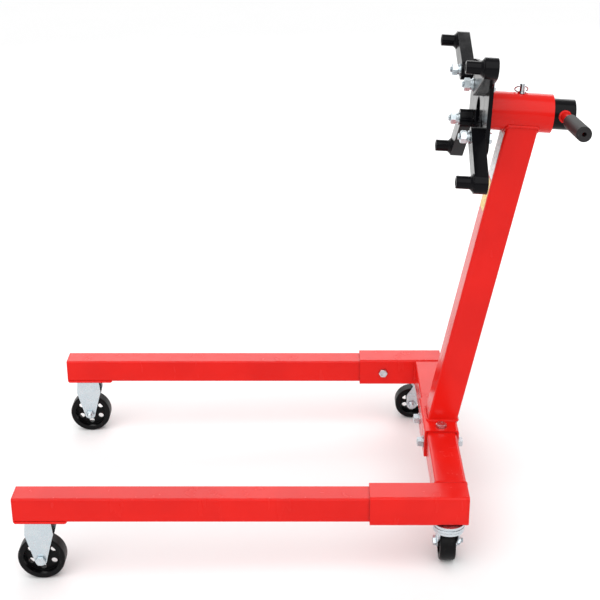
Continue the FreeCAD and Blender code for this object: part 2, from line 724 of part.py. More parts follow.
def chassis_fasteners():
    """Bolts that hold the legs, the casters and the saddle, and their nuts."""
    wall = float(d.tube_wall)
    half, leg_half = float(d.tube_side) / 2, float(d.leg_side) / 2
    y_leg = float(d.leg_spacing) / 2
    lock_bolts, fork_bolts, clamp_nuts, stems, stem_nuts = [], [], [], [], []
    for side, sign in SIDES.items():
        outward = ALONG_Y if sign > 0 else ALONG_MINUS_Y
        bolt = small_bolt(side + "_lock_bolt", d.lock_bolt_length)
        bolt.Placement = at(-d.lock_bolt_x, sign * (y_leg - half), 0, outward)
        lock_bolts.append(bolt)
        nut = small_nut(side + "_lock_nut")
        nut.Placement = at(-d.lock_bolt_x, sign * (y_leg - leg_half + float(d.leg_wall)), 0, outward)
        clamp_nuts.append(nut)
        for end in (-1, 1):
            x = end * float(d.fork_bolt_offset) - float(d.front_axle_x)
            under = -leg_half - float(d.pad_thickness) - float(d.fork_sheet)
            bolt = small_bolt(side + "_fork_bolt", d.fork_bolt_length)
            bolt.Placement = at(x, sign * y_leg, under)
            fork_bolts.append(bolt)
            nut = small_nut(side + "_fork_nut")
            nut.Placement = at(x, sign * y_leg, -leg_half + float(d.leg_wall))
            clamp_nuts.append(nut)
        y_stem = sign * (y_leg + float(d.pivot_out))
        depth = d.race_thickness + d.race_gap + d.crown_thickness + d.stem_clearance
        stem = large_bolt(side + "_stem", depth + d.tube_wall + d.stem_spare)
        stem.Placement = at(-d.pivot_x, y_stem, -half - float(depth))
        stems.append(stem)
        nut = large_nut(side + "_stem_nut")
        nut.Placement = at(-d.pivot_x, y_stem, -half + wall)
        stem_nuts.append(nut)
    group("leg_lock_bolts", lock_bolts, STANCE)
    group("front_fork_bolts", fork_bolts, STANCE)
    group("leg_nuts", clamp_nuts, STANCE)
    group("rear_caster_stems", stems, STANCE)
    group("rear_stem_nuts", stem_nuts, STANCE)


def saddle_fasteners():
    """Two bolts down through the saddle's top and two across the cross tube."""
    face = float(d.tube_side) / 2 + float(d.saddle_sheet)
    outside = face + float(d.saddle_washer_thickness)
    bolts, nuts, washers = [], [], []
    for side in (-1, 1):
        y = side * float(d.cross_bolt_y)
        z = -float(d.cross_bolt_z)
        for seat in (outside, -face):
            ring = washer("cross_washer", d.saddle_washer, d.saddle_bolt,
                          d.saddle_washer_thickness)
            ring.Placement = at(seat, y, z, ALONG_MINUS_X)
            washers.append(ring)
        bolt = large_bolt("cross_bolt", d.tube_side + d.saddle_sheet * 2 + d.cross_bolt_spare)
        bolt.Placement = at(outside, y, z, ALONG_MINUS_X)
        nut = large_nut("cross_nut")
        nut.Placement = at(-outside, y, z, ALONG_MINUS_X)
        y = side * float(d.top_bolt_y)
        top_bolt = large_bolt("top_bolt", d.saddle_sheet + d.tube_wall + d.top_bolt_spare)
        top_bolt.Placement = at(0, y, face, DOWN)
        top_nut = large_nut("top_nut")
        top_nut.Placement = at(0, y, float(d.tube_side) / 2 - float(d.tube_wall), DOWN)
        bolts += [bolt, top_bolt]
        nuts += [nut, top_nut]
    group("saddle_bolts", bolts, STANCE)
    group("saddle_nuts", nuts, STANCE)
    group("saddle_washers", washers, STANCE)


# ---- mast and head tube ----------------------------------------------------------------------

def mast_saddle():
    """A channel that sits over the cross tube and is bolted to it."""
    inner, drop = d.tube_side / 2, d.saddle_drop
    outer = inner + d.saddle_sheet
    body = new_body("saddle")
    section = new_sketch(body, "XZ_Plane", "saddle_section")
    draw_polygon(section, [(-outer, -drop), (-outer, outer), (outer, outer), (outer, -drop),
                           (inner, -drop), (inner, inner), (-inner, inner), (-inner, -drop)])
    pad(body, section, d.saddle_length, midplane=True)
    round_edges(body, lambda edge: is_along(edge, Vector(0, 1, 0))
                and edge.Vertexes[0].Z > float(inner + outer) / 2, d.saddle_corner)
    for side in (-1, 1):
        drill(body, "YZ_Plane", "cross_bolt_hole", d.cross_bolt_y * side, -d.cross_bolt_z,
              d.saddle_hole)
        drill(body, "XY_Plane", "top_bolt_hole", 0, d.top_bolt_y * side, d.saddle_hole)
    keep(body, "mast_saddle", STANCE)


def mast_frame(chassis):
    """Origin at the middle of the mast's foot, on the saddle; local Z runs up the mast."""
    foot = DIMENSIONS["tube_side"] / 2 + DIMENSIONS["saddle_sheet"]
    rake = Rotation(Vector(0, 1, 0), DIMENSIONS["mast_rake"])
    return chassis.multiply(at(DIMENSIONS["mast_foot_x"], 0, foot, rake))


def mast():
    """A raked square tube, cut level at the saddle and coped round the head tube."""
    tube = square_tube("mast_tube", "XY_Plane", d.tube_side, d.tube_wall, d.tube_corner,
                       d.mast_tube)
    tube.Placement = mast_frame(Placement()).multiply(
        at(z=float(d.mast_tube) / 2 - float(d.mast_foot_spare)))
    below = doc.addObject("Part::Box", "mast_foot_cut")
    bind(below, Length=d.tube_side * 4, Width=d.tube_side * 4, Height=d.tube_side)
    shift(below, -d.tube_side * 2, -d.tube_side * 2, d.saddle_sheet - d.tube_side / 2)
    cope = cylinder("mast_cope", d.head_tube_diameter / 2, d.head_tube_rear * 2)
    cope.Placement = head_frame(Placement()).multiply(
        at(d.head_tube_rear * 1.5, rotation=ALONG_MINUS_X))
    keep(cut("mast_cut", tube, fuse("mast_trims", below, cope)), "mast", STANCE)


def labels():
    """Two blank stickers, one above the other, on the mast's front face."""
    top = float(d.head_z) - float(d.head_tube_diameter) / 2 - float(d.label_top)
    for label, height in (("upper_label", d.upper_label_height),
                          ("lower_label", d.lower_label_height)):
        body = new_body(label)
        outline = new_sketch(body, "YZ_Plane", label + "_outline")
        draw_rectangle(outline, 0, 0, d.label_width, height)
        pad(body, outline, d.label_thickness, reverse=True)
        round_edges(body, lambda edge: is_along(edge, Vector(1, 0, 0)), d.label_corner)
        middle = top - float(height) / 2
        keep(body, label, mast_frame(STANCE).multiply(at(-d.tube_side / 2, 0, middle)))
        top = middle - float(height) / 2 - float(d.label_gap)


def head_tube():
    """The fixed tube that the head turns in, drilled on top for the lock pin."""
    body = new_body("head_tube")
    section = new_sketch(body, "YZ_Plane", "head_tube_section", offset=-d.head_tube_front)
    draw_circle(section, 0, 0, d.head_tube_diameter / 2)
    draw_circle(section, 0, 0, d.shaft_diameter / 2 + d.shaft_clearance)
    pad(body, section, d.head_tube_front + d.head_tube_rear)
    drill(body, "XY_Plane", "pin_hole", d.pin_axial, 0, d.index_hole,
          offset=d.head_tube_diameter / 2, length=d.head_tube_diameter / 2)
    keep(body, "head_tube", HEAD)


# ---- rotating head ---------------------------------------------------------------------------

def head_shaft():
    """The hollow shaft, with a ring of index holes for the pin and a hole for the handle."""
    body = new_body("head_shaft")
    section = new_sketch(body, "YZ_Plane", "head_shaft_section", offset=-d.plate_front)
    draw_circle(section, 0, 0, d.shaft_diameter / 2)
    draw_circle(section, 0, 0, d.shaft_diameter / 2 - d.shaft_wall)
    pad(body, section, d.plate_front + d.shaft_rear)
    # one index hole stands under the pin while the shaft rests at the handle's roll
    index = new_sketch(body, "XY_Plane", "index_hole")
    index.AttachmentOffset = at(rotation=Rotation(Vector(1, 0, 0), -DIMENSIONS["handle_roll"]))
    draw_circle(index, d.pin_axial, 0, d.index_hole / 2)
    polar(body, pocket(body, index), "X_Axis", d.index_count)
    drill(body, "XZ_Plane", "handle_hole", d.handle_axial, 0, d.handle_bar,
          offset=d.shaft_diameter / 2, length=d.shaft_diameter / 2)
    keep(body, "head_shaft", HANDLE)


def mounting_plate():
    """The slotted plate welded round the front end of the shaft."""
    body = new_body("mounting_plate")
    outline = new_sketch(body, "YZ_Plane", "plate_outline", offset=-d.plate_front)
    draw_rectangle(outline, 0, d.plate_rise, d.plate_width, d.plate_height)
    pad(body, outline, d.plate_thickness)
    round_edges(body, lambda edge: is_along(edge, Vector(1, 0, 0)), d.plate_corner)
    drill(body, "YZ_Plane", "shaft_hole", 0, 0, d.shaft_diameter)
    slots = new_sketch(body, "YZ_Plane", "arm_slots")
    for name in ARMS:
        way = slot_direction(name)
        ends = [(reach * way.y, d.plate_rise + reach * way.z)
                for reach in (d.slot_inner, d.slot_outer)]
        draw_slot(slots, ends[0], ends[1], d.plate_slot_width / 2)
    pocket(body, slots)
    keep(body, "mounting_plate", PLATE)


def arm(name):
    """A flat bar, drilled for its clamp bolt at one end and for the engine's bolt at the other."""
    thickness = d.arm_thickness - d.arm_clearance * 2
    body = new_body(name + "_arm")
    outline = new_sketch(body, "YZ_Plane", name + "_arm_outline", offset=-d.arm_clearance)
    draw_rectangle(outline, (d.arm_reach - d.arm_tail) / 2, 0, d.arm_reach + d.arm_tail,
                   d.arm_width)
    pad(body, outline, thickness, reverse=True)
    round_edges(body, lambda edge: is_along(edge, Vector(1, 0, 0))
                and edge.Vertexes[0].Y < 0, d.arm_corner)
    end = new_sketch(body, "YZ_Plane", name + "_arm_end", offset=-d.arm_clearance)
    draw_circle(end, d.arm_reach, 0, d.arm_width / 2)
    pad(body, end, thickness, reverse=True)
    drill(body, "YZ_Plane", name + "_clamp_hole", 0, 0, d.arm_hole)
    drill(body, "YZ_Plane", name + "_engine_hole", d.arm_reach, 0, d.finger_bore)
    keep(body, "arm_" + name, clamp_frame(PLATE, name))


def finger(name):
    """The tube welded to the arm's end: the engine's bolt passes through it."""
    radius, bore, flare = d.finger_diameter / 2, d.finger_bore / 2, d.finger_flare / 2
    length, chamfer = d.finger_length, d.finger_chamfer
    body = new_body(name + "_finger")
    section = new_sketch(body, "XZ_Plane", name + "_finger_section")
    draw_polygon(section, [
        (bore, 0), (flare, 0), (flare, d.finger_flare_edge), (radius, d.finger_flare_length),
        (radius, length - chamfer), (radius - chamfer, length), (bore, length)])
    revolve(body, section, "Z_Axis")
    keep(body, "finger_" + name, clamp_frame(PLATE, name).multiply(
        at(d.arm_clearance - d.arm_thickness, d.arm_reach, 0, ALONG_MINUS_X)))


def arm_clamp(name):
    """The bolt through the plate's slot and the arm, with its washers and nut in front."""
    frame = clamp_frame(PLATE, name)
    grip = d.plate_thickness + d.arm_thickness + d.washer_stack
    bolt = large_bolt(name + "_bolt", grip + d.arm_nut_height + d.arm_bolt_spare)
    keep(bolt, "clamp_bolt_" + name,
         frame.multiply(at(d.plate_thickness, rotation=ALONG_MINUS_X)))
    ring = washer(name + "_washer", d.arm_washer, d.arm_bolt, d.washer_stack)
    nut = hex_nut(name + "_nut", d.arm_bolt, d.large_flats, d.arm_nut_height)
    nut.Placement = at(z=d.washer_stack)
    group("clamp_nut_" + name, [ring, nut],
          frame.multiply(at(-d.arm_thickness, rotation=ALONG_MINUS_X)))


def handle():
    """A bar into the shaft's side with a rubber grip on its outer end."""
    bar = new_body("bar")
    round_section = new_sketch(bar, "XY_Plane", "bar_section")
    draw_circle(round_section, 0, 0, d.handle_bar / 2)
    pad(bar, round_section, d.handle_reach - d.grip_tip + d.handle_inside)
    keep(bar, "handle_bar",
         HANDLE.multiply(at(d.handle_axial, d.handle_inside, 0, ALONG_MINUS_Y)))
    body = new_body("grip")
    section = new_sketch(body, "XZ_Plane", "grip_section")
    outer, length, bevel = d.grip_diameter / 2, d.grip_length, d.grip_bevel
    draw_polygon(section, [
        (d.handle_bar / 2, 0), (outer, 0), (outer, length - bevel), (outer - bevel, length),
        (d.grip_end_hole / 2, length), (d.grip_end_hole / 2, length - d.grip_tip),
        (d.handle_bar / 2, length - d.grip_tip)])
    revolve(body, section, "Z_Axis")
    keep(body, "handle_grip", HANDLE.multiply(
        at(d.handle_axial, d.grip_length - d.handle_reach, 0, ALONG_MINUS_Y)))


def lock_pin():
    """The pin that drops through the head tube into the shaft, and the ring that lifts it."""
    body = new_body("lock_pin")
    section = new_sketch(body, "XZ_Plane", "lock_pin_section")
    radius, collar = d.pin_diameter / 2, d.pin_collar / 2
    seat = d.head_tube_diameter / 2
    top = d.pin_tip + d.pin_length
    point, chamfer = d.pin_point, d.pin_chamfer
    draw_polygon(section, [
        (0, d.pin_tip), (radius - point, d.pin_tip), (radius, d.pin_tip + point),
        (radius, seat), (collar, seat), (collar, seat + d.pin_collar_height),
        (radius, seat + d.pin_collar_height), (radius, top - chamfer), (radius - chamfer, top),
        (0, top)])
    revolve(body, section, "Z_Axis")
    drill(body, "YZ_Plane", "ring_hole", 0, seat + d.ring_rise, d.ring_hole)
    keep(body, "lock_pin", HEAD.multiply(at(d.pin_axial)))
    ring = doc.addObject("Part::Torus", "pull_ring")
    bind(ring, Radius1=(d.ring_diameter - d.ring_wire) / 2, Radius2=d.ring_wire / 2)
    keep(ring, "lock_ring", ring_frame().multiply(
        at(y=(d.ring_diameter - d.ring_wire) / 2)))


def ring_frame():
    """Origin in the pin's cross hole; the ring droops to the right, its centre along local Y."""
    lift = DIMENSIONS["head_tube_diameter"] / 2 + DIMENSIONS["ring_rise"]
    droop = Rotation(Vector(1, 0, 0), -DIMENSIONS["ring_droop"])
    return HEAD.multiply(at(DIMENSIONS["pin_axial"], 0, lift, droop))


# ---- build, check and write ------------------------------------------------------------------

def build():
    rear_cross_tube()
    tube_caps("sleeve_caps", d.tube_side, d.tube_corner, d.tube_side / 2 - d.cap_thickness)
    tube_caps("leg_caps", d.leg_side, d.leg_corner, -d.leg_front)
    caster_pads()
    group("rear_races", [rear_race(side) for side in SIDES], STANCE)
    for side in SIDES:
        leg_sleeve(side)
        leg(side)
        front_fork(side)
        rear_fork(side)
        swivel_balls(side)
        wheel(side + "_front_wheel", d.front_wheel_diameter, d.front_hole_circle,
              wheel_frame(side, True))
        wheel(side + "_rear_wheel", d.rear_wheel_diameter, d.rear_hole_circle,
              wheel_frame(side, False))
    axle_sets()
    chassis_fasteners()
    saddle_fasteners()
    mast_saddle()
    mast()
    labels()
    head_tube()
    head_shaft()
    mounting_plate()
    handle()
    lock_pin()
    for name in ARMS:
        arm(name)
        finger(name)
        arm_clamp(name)


def check():
    """Stop on any failed object or any sub-part without a sound solid."""
    doc.recompute()
    for item in doc.Objects:
        if "Invalid" in item.State or "Error" in item.State:
            raise RuntimeError("%s failed: %s" % (item.Name, item.State))
    for label, item in parts.items():
        if item.Shape.isNull() or not item.Shape.isValid() or not item.Shape.Solids:
            raise RuntimeError("%s has no valid solid" % label)


def write():
    os.makedirs("parts", exist_ok=True)
    for label, item in parts.items():
        item.Shape.exportStep("parts/%s.step" % label)


build()
check()
write()
print(len(parts), "sub-parts")
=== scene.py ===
"""Looks of the engine stand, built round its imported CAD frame. Metres, +Z up, +X to the rear."""

import json
import math
import random

import bmesh
import bpy
import numpy as np
from mathutils import Matrix, Vector


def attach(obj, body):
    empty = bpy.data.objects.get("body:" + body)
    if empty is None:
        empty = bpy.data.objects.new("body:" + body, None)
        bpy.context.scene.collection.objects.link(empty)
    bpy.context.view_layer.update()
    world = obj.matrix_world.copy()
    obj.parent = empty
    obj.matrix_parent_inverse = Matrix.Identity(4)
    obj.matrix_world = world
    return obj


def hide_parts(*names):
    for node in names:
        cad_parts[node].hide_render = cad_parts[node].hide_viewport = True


MM = 0.001
TOUCHING = 0.001 * MM
ON_LEVEL = 0.1 * MM
SIDES = ("left", "right")
ARMS = ("upper_right", "upper_left", "lower_right", "lower_left")

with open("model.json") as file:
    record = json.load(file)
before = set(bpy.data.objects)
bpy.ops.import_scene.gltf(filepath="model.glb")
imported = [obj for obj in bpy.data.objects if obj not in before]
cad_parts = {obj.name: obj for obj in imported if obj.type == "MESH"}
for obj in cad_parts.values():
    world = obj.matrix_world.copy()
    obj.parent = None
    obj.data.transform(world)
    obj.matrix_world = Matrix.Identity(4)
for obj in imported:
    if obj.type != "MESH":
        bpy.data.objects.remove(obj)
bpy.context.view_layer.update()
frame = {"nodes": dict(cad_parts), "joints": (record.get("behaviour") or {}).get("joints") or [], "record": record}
bpy.context.scene.view_settings.view_transform = "Standard"
chance = random.Random(7)

# ---- directions and places that the record states --------------------------------------------

JOINTS = {joint["name"]: joint for joint in frame["joints"]}
MOUNTS = {mount["name"]: mount for mount in frame["record"]["mounts"]}
RIGHT = Vector((0, 1, 0))
UP = Vector(JOINTS["left_caster_swivel"]["axis"]).normalized()
BACK = RIGHT.cross(UP)
SHAFT = Vector(JOINTS["head_turn"]["axis"]).normalized()
SHAFT_UP = RIGHT.cross(SHAFT) * -1
SHAFT_POINT = Vector(JOINTS["head_turn"]["pos_m"])


def corners(node):
    """Every corner of a CAD node's mesh."""
    return np.array([vert.co for vert in frame["nodes"][node].data.vertices], float)


def reach(node, axis, origin=Vector()):
    """The lowest and highest distance of a node along an axis from a point."""
    along = (corners(node) - np.array(origin)) @ np.array(axis)
    return float(along.min()), float(along.max())


def widest(points, axis, origin):
    """The largest distance of some points from an axis."""
    offset = points - np.array(origin)
    along = offset @ np.array(axis)
    return float(np.linalg.norm(offset - np.outer(along, axis), axis=1).max())


def islands(node):
    """The loose solids of a CAD node, each as an array of its corners."""
    mesh = bmesh.new()
    mesh.from_mesh(frame["nodes"][node].data)
    bmesh.ops.remove_doubles(mesh, verts=mesh.verts, dist=TOUCHING)
    found, seen = [], set()
    for first in mesh.verts:
        if first in seen:
            continue
        seen.add(first)
        waiting, members = [first], []
        while waiting:
            vert = waiting.pop()
            members.append(list(vert.co))
            for edge in vert.link_edges:
                other = edge.other_vert(vert)
                if other not in seen:
                    seen.add(other)
                    waiting.append(other)
        found.append(np.array(members))
    mesh.free()
    return found


def frame_on(origin, z_axis, x_hint):
    """A placement whose local Z is z_axis and whose local X lies towards x_hint."""
    z = Vector(z_axis).normalized()
    x = (Vector(x_hint) - z * z.dot(Vector(x_hint))).normalized()
    y = z.cross(x)
    turn = Matrix((x, y, z)).transposed()
    return Matrix.Translation(origin) @ turn.to_4x4()


def arc(place, radius, angles, height=0.0):
    """Points round a placement's Z at some angles."""
    return [place @ Vector((radius * math.cos(a), radius * math.sin(a), height)) for a in angles]


def round_section(radius, count):
    """The (aside, up) offsets of a round wire."""
    return [(radius * math.cos(math.tau * i / count), radius * math.sin(math.tau * i / count))
            for i in range(count)]


# ---- procedural materials ---------------------------------------------------------------------

class Recipe:
    """One procedural material, with short calls for the nodes that it needs."""

    def __init__(self, name):
        self.material = bpy.data.materials.new(name)
        self.material.use_nodes = True
        self.tree = self.material.node_tree
        self.shader = self.tree.nodes["Principled BSDF"]
        self.place = self.node("ShaderNodeTexCoord").outputs["Object"]

    def node(self, kind, inputs=None, **settings):
        made = self.tree.nodes.new(kind)
        for key, value in settings.items():
            setattr(made, key, value)
        for key, value in (inputs or {}).items():
            self.feed(made.inputs[key], value)
        return made

    def feed(self, socket, value):
        if isinstance(value, bpy.types.NodeSocket):
            self.tree.links.new(value, socket)
        else:
            socket.default_value = value

    def noise(self, scale, detail=3.0, stretch=None):
        """Noise with about scale features in a metre, drawn out along an axis by stretch."""
        place = self.place
        if stretch:
            mapping = {"Vector": place, "Scale": stretch}
            place = self.node("ShaderNodeMapping", mapping).outputs[0]
        inputs = {"Vector": place, "Scale": scale, "Detail": detail}
        return self.node("ShaderNodeTexNoise", inputs).outputs[0]

    def spread(self, value, low, high, start=0.0, end=1.0):
        """Map low..high of a value to start..end, and hold it there outside."""
        inputs = {"Value": value, "From Min": low, "From Max": high,
                  "To Min": start, "To Max": end}
        return self.node("ShaderNodeMapRange", inputs,
                         interpolation_type="SMOOTHSTEP").outputs[0]

    def math(self, operation, first, second):
        return self.node("ShaderNodeMath", {0: first, 1: second}, operation=operation).outputs[0]

    def mix(self, factor, first, second):
        """Blend two colours by a factor."""
        inputs = {0: factor, 6: first, 7: second}
        return self.node("ShaderNodeMix", inputs, data_type="RGBA").outputs[2]

    def edges(self, radius):
        """1 on edges and corners sharper than a radius, and 0 on open faces."""
        soft = self.node("ShaderNodeBevel", {"Radius": radius}, samples=4).outputs[0]
        true = self.node("ShaderNodeNewGeometry").outputs["Normal"]
        dot = self.node("ShaderNodeVectorMath", {0: soft, 1: true}, operation="DOT_PRODUCT")
        return self.spread(dot.outputs["Value"], 0.995, 0.88)

    def hollows(self, distance):
        """1 in corners that light barely reaches, and 0 in the open."""
        inputs = {"Distance": distance}
        light = self.node("ShaderNodeAmbientOcclusion", inputs, samples=4).outputs["AO"]
        return self.spread(light, 0.85, 0.35)

    def bump(self, height, strength, depth, below=None):
        inputs = {"Height": height, "Strength": strength, "Distance": depth}
        if below:
            inputs["Normal"] = below
        return self.node("ShaderNodeBump", inputs).outputs[0]

    def finish(self, color, roughness, normal, **constants):
        self.feed(self.shader.inputs["Base Color"], color)
        self.feed(self.shader.inputs["Roughness"], roughness)
        self.feed(self.shader.inputs["Normal"], normal)
        for key, value in constants.items():
            self.shader.inputs[key.replace("_", " ")].default_value = value
        return self.material


def paint(name, face, shade, chip, gloss, coat, shine):
    """Powder coat: orange peel, faint blotches, worn edges, dust that gathers in corners, and painted shade that
    darkens the colour there.
    """
    r = Recipe(name)
    blotch = r.spread(r.noise(7.0, 4.0), 0.35, 0.68)
    color = r.mix(blotch, face, shade)
    patches = r.spread(r.noise(90.0, 4.0), 0.3, 0.7, 0.25, 0.8)
    # Painted shade: the ambient-occlusion mask darkens the colour in corners and hollows to under half. The same
    # mask, as dust, also roughens them.
    dust_and_shade = r.math("MULTIPLY", r.hollows(14 * MM), patches)
    color = r.mix(dust_and_shade, color, [0.45 * c + 0.008 for c in shade[:3]] + [1])
    edge = r.edges(0.9 * MM)
    worn = [min(1, 1.25 * c + 0.02) for c in face[:3]] + [1]
    color = r.mix(r.math("MULTIPLY", edge, 0.35), color, worn)
    flakes = r.math("MULTIPLY", edge, r.spread(r.noise(160.0, 5.0), 0.66, 0.72))
    color = r.mix(flakes, color, chip)
    rubbed = r.spread(r.noise(38.0, 5.0, (1.0, 1.0, 0.25)), 0.45, 0.75, 0.0, 0.1)
    roughness = r.math("ADD", r.math("ADD", rubbed, gloss), r.math("MULTIPLY", dust_and_shade, 0.25))
    peel = r.bump(r.noise(420.0, 2.0), 0.10, 0.25 * MM)
    sag = r.bump(r.noise(28.0, 1.0), 0.12, 1.0 * MM, peel)
    grain = r.bump(r.noise(1900.0, 2.0), 0.05, 0.1 * MM, sag)
    chipped = r.bump(flakes, -0.3, 0.15 * MM, grain)
    return r.finish(color, roughness, chipped, Coat_Weight=coat, Coat_Roughness=0.08,
                    Specular_IOR_Level=shine)


def plated(name, face, tint, roughness_low, roughness_high, hollow_shade_color):
    """Plated steel: drifting tint, rolled grain, small scratches and painted shade that darkens the hollows."""
    r = Recipe(name)
    drift = r.spread(r.noise(55.0, 4.0), 0.36, 0.66)
    color = r.mix(drift, face, tint)
    # Painted shade: the ambient-occlusion mask darkens the colour in hollows towards a dark grey.
    hollow_shade = r.math("MULTIPLY", r.hollows(6 * MM), r.spread(r.noise(240.0, 3.0), 0.3, 0.7, 0.4, 0.9))
    color = r.mix(hollow_shade, color, hollow_shade_color)
    color = r.mix(r.math("MULTIPLY", r.edges(0.5 * MM), 0.6), color, [0.84, 0.85, 0.87, 1])
    scratch = r.spread(r.noise(900.0, 3.0, (0.08, 1.0, 1.0)), 0.6, 0.7, 0.0, 0.12)
    spread = r.spread(r.noise(140.0, 5.0), 0.3, 0.7, roughness_low, roughness_high)
    grain = r.bump(r.noise(1500.0, 3.0), 0.06, 0.1 * MM)
    scored = r.bump(scratch, 0.25, 0.1 * MM, grain)
    return r.finish(color, r.math("ADD", spread, scratch), scored, Metallic=1.0)


def moulded(name, face, worn, roughness, grain_scale, grain_depth, scuff_low, shine):
    """Moulded plastic or rubber: fine skin texture, scuffs and settled dust."""
    r = Recipe(name)
    cloud = r.spread(r.noise(30.0, 5.0), 0.35, 0.7)
    color = r.mix(r.math("MULTIPLY", cloud, 0.6), face, [0.6 * c for c in face[:3]] + [1])
    scuff = r.spread(r.noise(210.0, 6.0, (1.0, 1.0, 0.4)), scuff_low, scuff_low + 0.16, 0.0, 0.7)
    color = r.mix(scuff, color, worn)
    color = r.mix(r.math("MULTIPLY", r.edges(0.9 * MM), 0.5), color, worn)
    rough = r.math("ADD", r.math("MULTIPLY", scuff, 0.18), roughness)
    skin = r.bump(r.noise(grain_scale, 3.0), 0.3, grain_depth)
    wave = r.bump(r.noise(60.0, 2.0), 0.1, 0.5 * MM, skin)
    return r.finish(color, rough, wave, Specular_IOR_Level=shine)


def sticker(name, face, edge_color):
    """Blank vinyl: slightly faded, with a soiled rim, a fine grain and a few creases."""
    r = Recipe(name)
    fade = r.spread(r.noise(25.0, 3.0), 0.3, 0.75, 0.0, 0.5)
    color = r.mix(fade, face, [0.88 * c for c in face[:3]] + [1])
    soil = r.math("MULTIPLY", r.edges(1.2 * MM), r.spread(r.noise(300.0, 3.0), 0.3, 0.6))
    color = r.mix(soil, color, edge_color)
    roughness = r.spread(r.noise(120.0, 3.0), 0.3, 0.7, 0.24, 0.38)
    crease = r.bump(r.noise(45.0, 2.0), 0.15, 0.3 * MM)
    return r.finish(color, roughness, r.bump(r.noise(1200.0, 2.0), 0.05, 0.1 * MM, crease))


MATERIALS = {
    "red_paint": paint("red_powder_coat", (0.70, 0.010, 0.006, 1), (0.63, 0.008, 0.005, 1),
                       (0.10, 0.09, 0.085, 1), 0.20, 0.05, 0.16),
    "black_paint": paint("black_gloss_paint", (0.004, 0.004, 0.005, 1), (0.002, 0.002, 0.003, 1),
                         (0.16, 0.15, 0.145, 1), 0.16, 0.0, 0.09),
    "zinc": plated("bright_zinc", (0.56, 0.63, 0.67, 1), (0.60, 0.66, 0.69, 1), 0.24, 0.36,
                   (0.16, 0.18, 0.20, 1)),
    "chrome": plated("bright_chrome", (0.62, 0.64, 0.66, 1), (0.54, 0.57, 0.60, 1), 0.06, 0.15,
                     (0.20, 0.20, 0.21, 1)),
    "wheel_black": moulded("wheel_plastic", (0.003, 0.003, 0.0035, 1), (0.022, 0.021, 0.020, 1),
                           0.36, 900.0, 0.12 * MM, 0.60, 0.12),
    "grip_rubber": moulded("grip_rubber", (0.020, 0.019, 0.020, 1), (0.055, 0.053, 0.051, 1),
                           0.58, 1400.0, 0.25 * MM, 0.58, 0.2),
    "label_white": sticker("white_vinyl", (0.80, 0.80, 0.81, 1), (0.35, 0.33, 0.32, 1)),
    "label_yellow": sticker("yellow_vinyl", (0.80, 0.50, 0.03, 1), (0.35, 0.24, 0.06, 1)),
}
SLOTS = {row["node"]: row["material_slot"] for row in frame["record"]["subparts"]}
BODIES = {node: body for body, nodes in frame["record"]["behaviour"]["bodies"].items()
          for node in nodes}

for node, item in frame["nodes"].items():
    item.data.materials.clear()
    item.data.materials.append(MATERIALS[SLOTS[node]])


# ---- making pieces ----------------------------------------------------------------------------

TURN = 48
SHARP_ABOVE = math.radians(38)
ROUND_ABOVE = math.radians(40)
FLAT_WITHIN = math.radians(0.6)


class Shell:
    """Corners and faces gathered for one piece."""

    def __init__(self):
        self.verts = []
        self.faces = []

    def stitch(self, first, second):
        """Faces between two rings of the same count of corners."""
        count = len(first)
        for i in range(count):
            j = (i + 1) % count
            self.faces.append((first[i], first[j], second[j], second[i]))

    def ring(self, points):
        start = len(self.verts)
        self.verts.extend(tuple(point) for point in points)
        return list(range(start, len(self.verts)))

    def turned(self, rows, place, closed=False):
        """Rings about local Z from (height, radius) rows; either may be a list by angle."""
        rings = []
        for height, radius in rows:
            height = np.broadcast_to(height, TURN)
            radius = np.broadcast_to(radius, TURN)
            rings.append(self.ring([
                place @ Vector((radius[i] * math.cos(math.tau * i / TURN),
                                radius[i] * math.sin(math.tau * i / TURN), height[i]))
                for i in range(TURN)]))
        for first, second in zip(rings, rings[1:]):
            self.stitch(first, second)
        if closed:
            self.stitch(rings[-1], rings[0])
        else:
            self.faces.append(tuple(reversed(rings[0])))
            self.faces.append(tuple(rings[-1]))

    def swept(self, points, up, section, closed=True, scale=None):
        """A section of (aside, up) offsets carried along points."""
        count = len(points)
        rings = []
        for i in range(count):
            before = points[i - 1] if closed or i else points[0]
            after = points[(i + 1) % count] if closed or i < count - 1 else points[-1]
            way = (after - before).normalized()
            aside = way.cross(up).normalized()
            rise = aside.cross(way)
            size = scale[i] if scale else 1.0
            rings.append(self.ring([points[i] + (aside * a + rise * b) * size
                                    for a, b in section]))
        for first, second in zip(rings, rings[1:]):
            self.stitch(first, second)
        if closed:
            self.stitch(rings[-1], rings[0])
        else:
            self.faces.append(tuple(reversed(rings[0])))
            self.faces.append(tuple(rings[-1]))

    def piece(self, name, slot, body, *nodes):
        mesh = bpy.data.meshes.new(name)
        mesh.from_pydata(self.verts, [], self.faces)
        tidy = bmesh.new()
        tidy.from_mesh(mesh)
        bmesh.ops.recalc_face_normals(tidy, faces=tidy.faces)
        tidy.to_mesh(mesh)
        tidy.free()
        return settle(name, mesh, slot, body, nodes)


def settle(name, mesh, slot, body, nodes):
    """Put a finished mesh into the scene as a piece that rides on a body."""
    mesh.polygons.foreach_set("use_smooth", [True] * len(mesh.polygons))
    mesh.set_sharp_from_angle(angle=SHARP_ABOVE)
    mesh.materials.append(MATERIALS[slot])
    item = bpy.data.objects.new(name, mesh)
    bpy.context.scene.collection.objects.link(item)
    even = item.modifiers.new("even", "WEIGHTED_NORMAL")
    even.keep_sharp = True
    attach(item, body)
    if nodes:
        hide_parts(*nodes)
    return item


